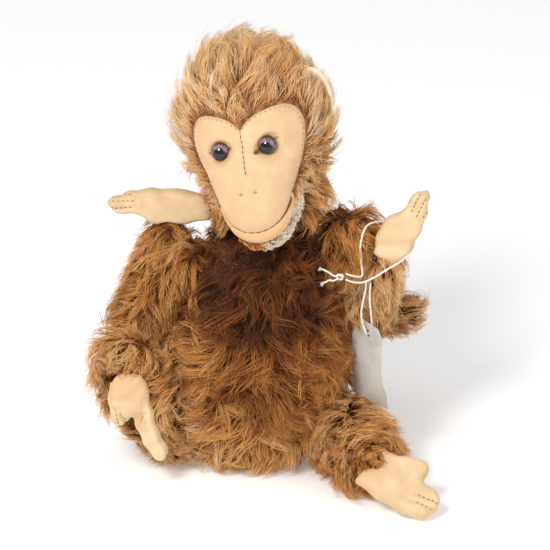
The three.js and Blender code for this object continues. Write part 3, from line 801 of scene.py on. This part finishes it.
def torso_keep(points, normals):
    free = off_seams(points, SEAMS, 0.017)
    under = (points[:, 2] < 0.0015) & (normals[:, 2] < -0.6)
    collar = np.linalg.norm((points - NECK)[:, :2], axis=1) < 0.014
    free[under] = 0.15
    free[collar & (points[:, 2] > 0.124)] = 0.1
    return free


def torso_length(points):
    x, y, z = (points / MM).T
    return 0.0150 - 0.003 * ramp(z, 88, 122) + 0.003 * ramp(-x, 5, 30)


def torso_stand(points):
    x, y, z = (points / MM).T
    return 0.0105 - 0.003 * ramp(z, 92, 122) + 0.003 * ramp(-x, 5, 24)


for number in range(3):
    comb(f"torso_pile_{number + 1}", torso_skin, "torso", "mohair_brown", int(8400 * FULL), 520, 100 + number,
         torso_keep, torso_flow, torso_length, torso_stand, torso_tone, wave=0.0014, stray=0.5)


# the head's pile: brushed up and away from the face, short at the brow
FACE_CENTRE = np.array((2.0, -38.0, 44.0))


def head_flow(points, normals):
    local = in_head(points)
    away = unit(local - FACE_CENTRE)
    lift = ramp(local[:, 2], 25, 60)[:, None] * (0.0, 0.1, 0.75)
    drop = (1 - ramp(local[:, 2], 20, 45))[:, None] * (0.0, 0.2, -0.5)
    return (away + lift + drop) @ HEAD_TURN.T + 0.3 * swirl(points, 0.012, 4)


def off_face(points):
    """Below 1 at the face, and growing away from it."""
    return np.linalg.norm((in_head(points) - FACE_CENTRE) / (31, 30, 30), axis=1)


def head_length(points):
    return 0.006 + 0.010 * ramp(off_face(points), 0.95, 1.6)


def head_stand(points):
    crown = ramp(in_head(points)[:, 2], 70, 88)
    return 0.003 + 0.0065 * ramp(off_face(points), 0.95, 1.5) + 0.003 * crown


def head_tone(points):
    x, y, z = in_head(points).T
    tone = 0.73 - 0.26 * (1 - ramp(z, 8, 34)) - 0.03 * ramp(y, 8, 30)
    return tone + 0.05 * swirl(points, 0.012, 3)[:, 1]


def face_edge(angle):
    """The face's outline, as its distance from the face's middle at an angle from straight up, in millimetres."""
    return np.interp(angle % (2 * math.pi), FACE_ANGLES, FACE_REACH)


def bezier(a, b, c, d, count=24):
    t = np.linspace(0, 1, count, endpoint=False)[:, None]
    a, b, c, d = (np.array(p, float) for p in (a, b, c, d))
    return (1 - t) ** 3 * a + 3 * (1 - t) ** 2 * t * b + 3 * (1 - t) * t ** 2 * c + t ** 3 * d


FACE_MIDDLE = np.array((2.0, 44.0))
FACE_CURVES = [
    ((2, 64.5), (5, 69.5), (10, 71.5), (17.5, 71.5)), ((17.5, 71.5), (27, 71.5), (31, 64), (31, 56)),
    ((31, 56), (30, 45), (24, 36), (19.5, 27)), ((19.5, 27), (16, 19), (10, 14.8), (2, 14.8)),
    ((2, 14.8), (-6, 14.8), (-12, 19), (-15.5, 27)), ((-15.5, 27), (-19, 36), (-23.5, 45), (-24.5, 56)),
    ((-24.5, 56), (-24.5, 64), (-21.5, 71.5), (-12.5, 71.5)), ((-12.5, 71.5), (-6, 71.5), (-1, 69.5), (2, 64.5)),
]
from_middle = np.concatenate([bezier(*curve) for curve in FACE_CURVES]) - FACE_MIDDLE
angles = np.arctan2(from_middle[:, 0], from_middle[:, 1]) % (2 * math.pi)
order = np.argsort(angles)
around = angles[order]
reaches = np.linalg.norm(from_middle, axis=1)[order]
FACE_ANGLES = np.concatenate([around[-1:] - 2 * math.pi, around, around[:1] + 2 * math.pi])
FACE_REACH = np.concatenate([reaches[-1:], reaches, reaches[:1]])


def past_face_edge(local):
    """How far a place of the head is outside the face's outline, seen from in front, in millimetres."""
    span = local[:, [0, 2]] - FACE_MIDDLE
    return np.linalg.norm(span, axis=1) - face_edge(np.arctan2(span[:, 0], span[:, 1]))


def white_jaw(points, normals):
    """The white side of the jaw, between the lip and the left cheek's pile."""
    local = in_head(points)
    x, y, z = local.T
    return ((x > 6) & (x < 24) & (y < -20) & (z > 2.5) & (z < 24) & (past_face_edge(local) > 2.0)).astype(float)


def head_keep(points, normals):
    local = in_head(points)
    front = local[:, 1] < -4
    free = np.ones(len(points))
    free[front & (past_face_edge(local) < 0.4)] = 0
    free[local[:, 2] < 1.2] = 0.05
    lip = front & (local[:, 2] < 25) & (np.abs(local[:, 0] - 2) < 17) & (local[:, 1] < -18)
    free[lip] = 0
    free[white_jaw(points, normals) > 0] = 0
    return free


for number in range(2):
    comb(f"head_pile_{number + 1}", head_skin, "head", "mohair_tan", int(8500 * FULL), 420, 200 + number,
         head_keep, head_flow, head_length, head_stand, head_tone, wave=0.0012, cling=0.8, fuzz=0.001, stray=0.25)


# the limbs' pile: long at the shoulder and hip, shorter at the wrist and ankle
WRISTS = {"left": mm(67.5, -11.5, 107), "right": mm(-41, 2, 119)}
ELBOWS = {"left": mm(60, -3, 81), "right": mm(-54, -3, 76)}
ANKLES = {"left": mm(62, -60, 20), "right": mm(-60, -46, 62)}
ARM_TONES = {"left": (0.40, 0.24), "right": (0.35, 0.12)}
ARM_LENGTHS = {"left": (0.0145, 0.0050), "right": (0.0165, 0.0040)}
LEG_TONES = {"left": 0.50, "right": 0.54}

for side, mirror in (("left", 1), ("right", -1)):
    wrist, elbow, ankle = WRISTS[side], ELBOWS[side], ANKLES[side]
    raised = side == "right"
    upper_tone, lighter = ARM_TONES[side]
    upper_length, shorter = ARM_LENGTHS[side]

    def fore(points):
        """0 on the upper arm, and 1 at the wrist."""
        bone = wrist - elbow
        share = (points - elbow) @ bone / (bone @ bone)
        off_bone = np.linalg.norm(points - elbow - np.clip(share, 0, 1)[:, None] * bone, axis=1)
        return ramp(share, -0.1, 0.35) * (1 - ramp(off_bone, 0.014, 0.02))

    def arm_keep(points, normals):
        return off_seams(points, [f"arm_{side}"], 0.02)

    def arm_flow(points, normals):
        down = np.array((0.35 * mirror, -0.05, -1.0))
        return down + (0.4 - 0.2 * fore(points)[:, None]) * swirl(points, 0.014, 31)

    def arm_length(points):
        return upper_length - shorter * fore(points)

    def arm_stand(points):
        return 0.009 - 0.8 * shorter * fore(points)

    def arm_tone(points):
        return upper_tone + lighter * fore(points) + 0.05 * swirl(points, 0.011, 33)[:, 2]

    comb(f"arm_pile_{side}", arm_skins[side], f"arm_{side}", "mohair_brown", int(7200 * FULL), 620,
         300 + (not raised), arm_keep, arm_flow, arm_length, arm_stand, arm_tone,
         cling=0.6, fuzz=0.0011, stray=0.3)

    def thin(points):
        """0 on the thigh, and 1 at the ankle and under the raised leg, where the pile is short."""
        share = 1 - ramp(np.linalg.norm(points - ankle, axis=1), 0.012, 0.022)
        return np.maximum(share, 0.75 * (1 - ramp(points[:, 2], 0.034, 0.05))) if raised else share

    def leg_keep(points, normals):
        free = off_seams(points, [f"leg_{side}"], 0.022)
        if raised:
            x, y, z = points.T
            free[(y < -0.033) & (z < 0.0635) & (x < -0.0505)] = 0
        return free

    def leg_flow(points, normals):
        to_foot = unit(ankle - SEAMS[f"leg_{side}"][0])
        return to_foot * 0.7 + np.array((0.1 * mirror, 0, -0.55)) + 0.6 * swirl(points, 0.012, 41)

    def leg_length(points):
        return 0.0155 - 0.0110 * thin(points)

    def leg_stand(points):
        return 0.0095 - 0.0075 * thin(points)

    def leg_tone(points):
        low = (1 - ramp(points[:, 2], 0.012, 0.05)) * raised
        return LEG_TONES[side] + 0.08 * low + 0.06 * swirl(points, 0.011, 43)[:, 0]

    comb(f"leg_pile_{side}", leg_skins[side], f"leg_{side}", "mohair_brown", int(8500 * FULL), 640,
         400 + (not raised), leg_keep, leg_flow, leg_length, leg_stand, leg_tone,
         cling=0.62, fuzz=0.0011, stray=0.35)


def tail_flow(points, normals):
    return np.array((0.9, 0.3, 0.0)) + 0.4 * swirl(points, 0.01, 51)


def tail_tone(points):
    return 0.58 + 0.05 * swirl(points, 0.01, 52)[:, 0]


comb("tail_pile", tail_skin, "torso", "mohair_brown", int(3800 * FULL), 260, 500, everywhere,
     tail_flow, same(0.009), same(0.0065), tail_tone, wave=0.0014)


def white_flow(points, normals):
    return np.array((0.8, 0.4, -0.5)) + 0.2 * swirl(points, 0.01, 61)


def chin_tone(points):
    return 0.42 + 0.565 * ramp(in_head(points)[:, 0], 0, 3)


PLUSH = {"wave": 0.0002, "cling": 0.35, "thick": 0.25, "fuzz": 0.0002, "fly": 0.0}
comb("chin_pile", chin_skin, "head", "mohair_white", int(1600 * FULL), 400, 600, everywhere,
     white_flow, same(0.0028), same(0.0014), chin_tone, **PLUSH)
comb("jaw_pile_white", head_skin, "head", "mohair_white", int(2600 * FULL), 700, 601, white_jaw,
     white_flow, same(0.0026), same(0.0013), same(0.985), **PLUSH)


# ---- the felt face ----
FACE_PROUD = 1.5
EYES = {"left": (13.7, 55.5), "right": (-9.7, 55.5)}
EYE_DEPTH, EYE_RADIUS = -37.4, 0.0049
FELT_THICKNESS = 0.0011
head_surface = surface_of(head_skin)


def met_from_front(surface, x, z):
    """Where a surface is first met from in front of the head, or None."""
    return surface.ray_cast(Vector(on_head([[x, -70.0, z]])[0]), Vector(HEAD_BACK))[0]


def skin_front(x, z):
    """How far forward the head's skin is at a place on the face, in millimetres."""
    met = met_from_front(head_surface, x, z)
    return in_head(np.array([met]))[0][1] if met else -10.0


def on_face_skin(x, z):
    return tuple(on_head([[x, skin_front(x, z) - 1.2, z]])[0])


def make_face():
    rings, spokes = 46, 144
    points, faces = [], []
    turn = np.arange(spokes) / spokes * 2 * math.pi
    reach = face_edge(turn)
    for k in range(1, rings + 1):
        share = k / rings
        spread = 1 - (1 - share) ** 1.15
        for j in range(spokes):
            x = FACE_MIDDLE[0] + reach[j] * spread * math.sin(turn[j])
            z = FACE_MIDDLE[1] + reach[j] * spread * math.cos(turn[j])
            edge = reach[j] * (1 - spread)
            proud = FACE_PROUD * (1 - max(0, 1 - edge / 1.6) ** 2.2) - 0.1
            for ex, ez in EYES.values():
                across, rise = x - ex, (z - ez) - 0.28 * (x - ex)
                gap = math.hypot(across * 0.86, rise * (1.05 + 0.05 * abs(across)))
                proud -= 1.7 * math.exp(-((gap / 5.6) ** 4))
                proud += 0.8 * math.exp(-(((gap - 7.4) / 1.9) ** 2))
            seam = abs(x - 2)
            if z > 43:
                proud -= 0.75 * math.exp(-((seam / 0.8) ** 2)) * min(1, (z - 43) / 3)
                proud += 0.35 * math.exp(-(((seam - 2.2) / 1.3) ** 2)) * min(1, (z - 43) / 3)
            points.append((x, skin_front(x, z) - proud, z))
    centre = (FACE_MIDDLE[0], skin_front(*FACE_MIDDLE) - FACE_PROUD, FACE_MIDDLE[1])
    points.append(centre)
    for k in range(rings - 1):
        for j in range(spokes):
            a, b = k * spokes + j, k * spokes + (j + 1) % spokes
            faces.append((a, b, b + spokes, a + spokes))
    for j in range(spokes):
        faces.append((len(points) - 1, (j + 1) % spokes, j))
    nostril_mark, eye_slit_shade = colour(176, 142, 104), colour(74, 50, 34)
    stains_and_shade = [(on_face_skin(2, 32), 0.012, colour(216, 172, 128), 0.4),
              (on_face_skin(-1.6, 37.2), 0.0016, nostril_mark, 0.6),
              (on_face_skin(5.4, 37.6), 0.0016, nostril_mark, 0.6)]
    # painted shade: a darker ring in each eye's socket, and dark spots in the slits at its inner and outer corners
    for ex, ez in EYES.values():
        stains_and_shade.append((on_face_skin(ex, ez), 0.0088, colour(176, 142, 92), 0.75))
        for reach, size in ((4.2, 0.0024), (5.0, 0.0019), (5.8, 0.0014)):
            stains_and_shade.append((on_face_skin(ex - reach, ez - 0.24 * reach), size, eye_slit_shade, 0.85))
            outer = on_face_skin(ex + 0.9 * reach, ez + 0.34 * reach)
            stains_and_shade.append((outer, size * 0.9, colour(84, 58, 42), 0.8))
    face = mesh_piece("face_felt", on_head(points), faces,
                      felt("felt_face", colour(217, 180, 137), colour(227, 194, 153), colour(192, 149, 103), stains_and_shade))
    smooth = face.modifiers.new("smooth", "SMOOTH")
    smooth.iterations = 2
    thicken(face, FELT_THICKNESS, -1)
    edit(face, bpy.ops.mesh.normals_make_consistent, inside=False)
    return face


face = make_face()
finish_piece(face, "head", ["face"])
face_surface = surface_of(face)


def on_face(x, z, lift):
    """A place on the felt at a spot of the face, lifted off it, in metres."""
    met = met_from_front(face_surface, x, z) or met_from_front(head_surface, x, z)
    return np.array(met) - HEAD_BACK * lift * MM


# the lower lip, in a warmer felt that hangs a little below the muzzle
MOUTH_MIDDLE, MOUTH_HALF = 2.6, 17.6


def mouth_line(t):
    """The mouth from its right corner, 0, to its left, 1: across and up on the face."""
    bend = math.cos((t - 0.5) * math.pi) ** 0.85
    return MOUTH_MIDDLE + MOUTH_HALF * math.sin((t - 0.5) * math.pi), 27.0 + 1.5 * t - 12.2 * bend


def make_lip():
    points, faces = [], []
    columns, rows = 72, 14
    for i in range(columns + 1):
        t = i / columns
        x, top = mouth_line(t)
        drop = 0.4 + 7.2 * max(0, math.sin(math.pi * t)) ** 0.7
        front = skin_front(x, top)
        for j in range(rows + 1):
            s = j / rows
            angle = s * math.radians(118)
            z = top + 0.5 - drop * math.sin(angle)
            y = front - 1.3 - 0.5 * math.sin(math.pi * s) + drop * 0.95 * (1 - math.cos(angle))
            points.append((x, y, z))
    for i in range(columns):
        for j in range(rows):
            a = i * (rows + 1) + j
            faces.append((a, a + 1, a + rows + 2, a + rows + 1))
    stains_and_shade = [(tuple(on_head([[2, -46, 12]])[0]), 0.02, colour(222, 168, 112), 0.5)]
    lip = mesh_piece("lip_felt", on_head(points), faces,
                     felt("felt_lip", colour(224, 180, 134), colour(232, 194, 152), colour(196, 146, 98), stains_and_shade))
    thicken(lip, FELT_THICKNESS)
    edit(lip, bpy.ops.mesh.normals_make_consistent, inside=False)
    return lip


lip = make_lip()
finish_piece(lip, "head", ["lower_lip"])


# ---- stitches on the face ----
def stitches(name, route, length, gap, radius):
    """Short stitches of brown thread along a route, each thin at its ends."""
    step = 0.0002
    fine = smooth_route(route, step)
    each, skip = round(length / step), round(gap / step)
    made = []
    start = 0
    while start + each < len(fine):
        run = fine[start:start + each + 1]
        made.append(run[:: max(1, each // 5)])
        start += each + skip
    return twisted(name, made, radius, THREAD_BROWN, sides=6, taper=2)


dart = [on_face(2 + 0.15 * math.sin(z), z, 0.12) for z in np.linspace(63.2, 43.5, 24)]
centre_stitch = stitches("centre_seam", dart, 0.0022, 0.0005, 0.00021)
finish_piece(centre_stitch, "head", ["centre_stitch"])
mouth = []
for t in np.linspace(0.02, 0.98, 60):
    x, z = mouth_line(t)
    mouth.append(on_face(x, z + 0.7, 0.12))
mouth_stitch = stitches("mouth_seam", mouth, 0.0034, 0.0002, 0.00024)
finish_piece(mouth_stitch, "head", ["mouth_stitch"])
rim = []
for angle in np.linspace(-2.2, 2.2, 120):
    reach = float(face_edge(np.array([angle % (2 * math.pi)]))[0]) - 0.9
    rim.append(on_face(FACE_MIDDLE[0] + reach * math.sin(angle), FACE_MIDDLE[1] + reach * math.cos(angle), 0.05))
rim_stitch = stitches("face_edge_seam", rim, 0.0012, 0.0016, 0.00014)
finish_piece(rim_stitch, "head")
for side, x in (("left", 5.6), ("right", -1.6)):
    mark = [on_face(x + d, 37 + 0.5 * math.cos(d * 2), 0.05) for d in (-0.9, -0.3, 0.3, 0.9)]
    nostril = twisted(f"nostril_mark_{side}", [smooth_route(mark, 0.0003)], 0.00026,
                      thread(f"nostril_thread_{side}", colour(150, 108, 74), colour(186, 142, 100)), taper=2)
    finish_piece(nostril, "head", [f"nostril_{side}"])


# ---- glass eyes ----
for side, (x, z) in EYES.items():
    deselect()
    centre = on_head([[x, EYE_DEPTH, z]])[0]
    bpy.ops.mesh.primitive_uv_sphere_add(segments=48, ring_count=24, radius=EYE_RADIUS, location=centre)
    eye = bpy.context.object
    eye.name = f"eye_glass_{side}"
    settle(eye)
    bpy.ops.object.shade_smooth()
    clothe(eye, glass_eye(f"glass_eye_{side}", tuple(centre), tuple(-HEAD_BACK)))
    finish_piece(eye, "head", [f"eye_{side}"])

# ---- felt ears, cupped forwards, the right one sunk in the pile ----
EAR_FELT = felt("felt_ear", colour(240, 214, 182), colour(246, 224, 196), colour(216, 178, 140), [])
EARS = {"left": ((8.5, 6.0, 15.5), (35.0, -1, 62)), "right": ((7.0, 6.0, 15.5), (-26.5, -1, 62))}
for side, (size, middle) in EARS.items():
    deselect()
    bpy.ops.mesh.primitive_uv_sphere_add(segments=40, ring_count=24, radius=1.0)
    ear = bpy.context.object
    ear.name = f"ear_felt_{side}"
    shape = vertices_of(ear)
    front = np.clip(-shape[:, 1], 0, 1)
    shape[:, 1] += 1.45 * front * np.clip(1.15 - (shape[:, 0] ** 2 + shape[:, 2] ** 2), 0, 1)
    set_vertices(ear, on_head(shape * size + middle))
    bpy.ops.object.shade_smooth()
    clothe(ear, EAR_FELT)
    finish_piece(ear, "head", [f"ear_{side}"])

# ---- felt hands and feet ----
HAND_PLACES = {
    "left": (mm(67, -13, 112), (22, -3, 40), (-0.2, -1, 0.25)),
    "right": (mm(-28, 4, 133), (-42, -2, 3), (0, -1, 0.15)),
}
HEELS = {
    "left": (),
    "right": ((mm(-60, -46.2, 56.5), mm(9.3, 4.6, 9.0)), (mm(-60.5, -45.8, 48), mm(8.6, 4.4, 8.0))),
}
HAND_GROWTH = {"left": 0.0, "right": 9.0}
FOOT_SMOOTHING = {"left": 14, "right": 8}
FOOT_PLACES = {
    "left": (mm(57, -58, 19.6), (37, -16, -11), (0, -0.58, 0.81)),
    "right": (mm(-60, -46, 62), (4, 3, -44), (-0.25, -1, 0)),
}
FINGER_LINES = [
    [(42, -1.6), (36, -1.8), (29, -2.4)], [(41, 2.2), (35, 1.6), (29, 0.8)], [(41.5, -4.2), (35, -5), (29, -5.4)],
]
TOE_LINES = {
    "left": [[(43, -7.6), (37, -8.2), (31, -8.4)], [(43, -3.2), (37, -4), (31, -4.4)]],
    "right": [[(27, -8.2), (22, -8.4), (15, -8.2)], [(27, -4.6), (22, -5), (15, -5.2)]],
}


def flat_frame(place):
    """A hand's or foot's wrist or heel, and its own directions: along it, across it and out of its palm."""
    origin, forward, normal = place
    x = unit(np.array(forward, float))
    y = unit(np.cross(np.array(normal, float), x))
    return origin, np.stack([x, y, np.cross(x, y)])


def pad(name, node, place, lines, material, body, heel=0.0, smoothing=14, lumps=()):
    """A stuffed felt hand or foot: soft sides, and fingers drawn in by stitched lines on its faces.

    heel lengthens it towards the arm, in millimetres.
    """
    piece = soft_copy(name, node, 0.75, smoothing, lumps)
    origin, axes = flat_frame(place)
    points, out = vertices_of(piece), normals_of(piece)
    local = (points - origin) @ axes.T / MM
    points = points - axes[0] * (heel * np.clip(1 - local[:, 0] / 14, 0, 1.1) ** 1.3)[:, None] * MM
    press = np.zeros(len(points))
    lines = [[(x, y, 0) for x, y in line] for line in lines]
    for line in lines:
        route = smooth_route(line, 0.5)
        gap = np.linalg.norm(local[:, None, :2] - route[None, :, :2], axis=2).min(axis=1)
        press += np.exp(-((gap / 1.1) ** 2))
    puff = 0.0004 * np.sin(local[:, 0] * 0.5 + local[:, 1] * 0.4)
    points = points + out * (puff - 0.0011 * np.clip(press, 0, 1))[:, None]
    set_vertices(piece, points)
    clothe(piece, material)
    surface = surface_of(piece)
    made = []
    for facing in (1, -1):
        for line in lines:
            route = []
            for x, y, _ in smooth_route(line, 1.0):
                start = origin + (np.array((x, y, 14.0 * facing)) @ axes) * MM
                hit = surface.ray_cast(Vector(start), Vector(-facing * axes[2]))
                if hit[0]:
                    route.append(np.array(hit[0]) + facing * axes[2] * 0.00008)
            if len(route) > 3:
                made.append(smooth_route(route, 0.0004))
    runs = [route[k:k + 5] for route in made for k in range(0, len(route) - 5, 6)]
    seam = twisted(f"{name}_stitches", runs, 0.00018, THREAD_BROWN, sides=5, taper=1)
    finish_piece(seam, body)
    return finish_piece(piece, body, [node])


def limb_felt(name, stains_and_shade):
    return felt(name, colour(219, 187, 144), colour(231, 203, 163), colour(190, 150, 104), stains_and_shade)


for side in SIDES:
    pad(f"hand_felt_{side}", f"hand_{side}", HAND_PLACES[side], FINGER_LINES,
        limb_felt(f"felt_hand_{side}", []), f"arm_{side}", heel=HAND_GROWTH[side])
    pad(f"foot_felt_{side}", f"foot_{side}", FOOT_PLACES[side], TOE_LINES[side],
        limb_felt(f"felt_foot_{side}", [(tuple(FOOT_PLACES[side][0]), 0.02, colour(208, 156, 104), 0.5)]),
        f"leg_{side}", smoothing=FOOT_SMOOTHING[side], lumps=HEELS[side])

# ---- the joints' discs and pins, seen only when a limb is turned ----
HARDBOARD = backing("hardboard", colour(96, 66, 42), colour(140, 104, 72))
PIN_STEEL = Finish("pin_steel", metallic=1.0, roughness=0.35)
scratch = PIN_STEEL.noise(PIN_STEEL.place(), 700.0, 3.0)
PIN_STEEL.feed("Base Color", PIN_STEEL.mix(colour(150, 146, 140), colour(186, 184, 180), scratch))
PIN_STEEL.feed("Roughness", 0.3 + scratch * 0.2)
for node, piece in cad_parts.items():
    if "_disc_" in node:
        clothe(piece, HARDBOARD)
    elif "_pin" in node:
        clothe(piece, PIN_STEEL.material)

# ---- floor, light and surroundings ----
deselect()
bpy.ops.mesh.primitive_plane_add(size=6.0, location=(0, 0, -0.0006))
floor = bpy.context.object
floor.name = "floor"
clothe(floor, floor_paper())
settle(floor)


def soft_light(name, place, target, size, power):
    light = link_new(name, bpy.data.lights.new(name, "AREA"))
    light.data.shape = "SQUARE"
    light.data.size = size
    light.data.energy = power
    light.location = place
    light.rotation_euler = (Vector(target) - Vector(place)).to_track_quat("-Z", "Y").to_euler()


soft_light("key", (-0.5, -0.9, 1.1), (0, 0, 0.1), 0.4, 14)
soft_light("fill", (0.9, -0.7, 0.7), (0, 0, 0.1), 0.8, 4)
world = bpy.data.worlds.new("surroundings")
bpy.context.scene.world = world
world.use_nodes = True
background = world.node_tree.nodes["Background"]
background.inputs["Color"].default_value = (1, 1, 1, 1)
background.inputs["Strength"].default_value = 0.55
bpy.context.scene.view_settings.view_transform = "Standard"
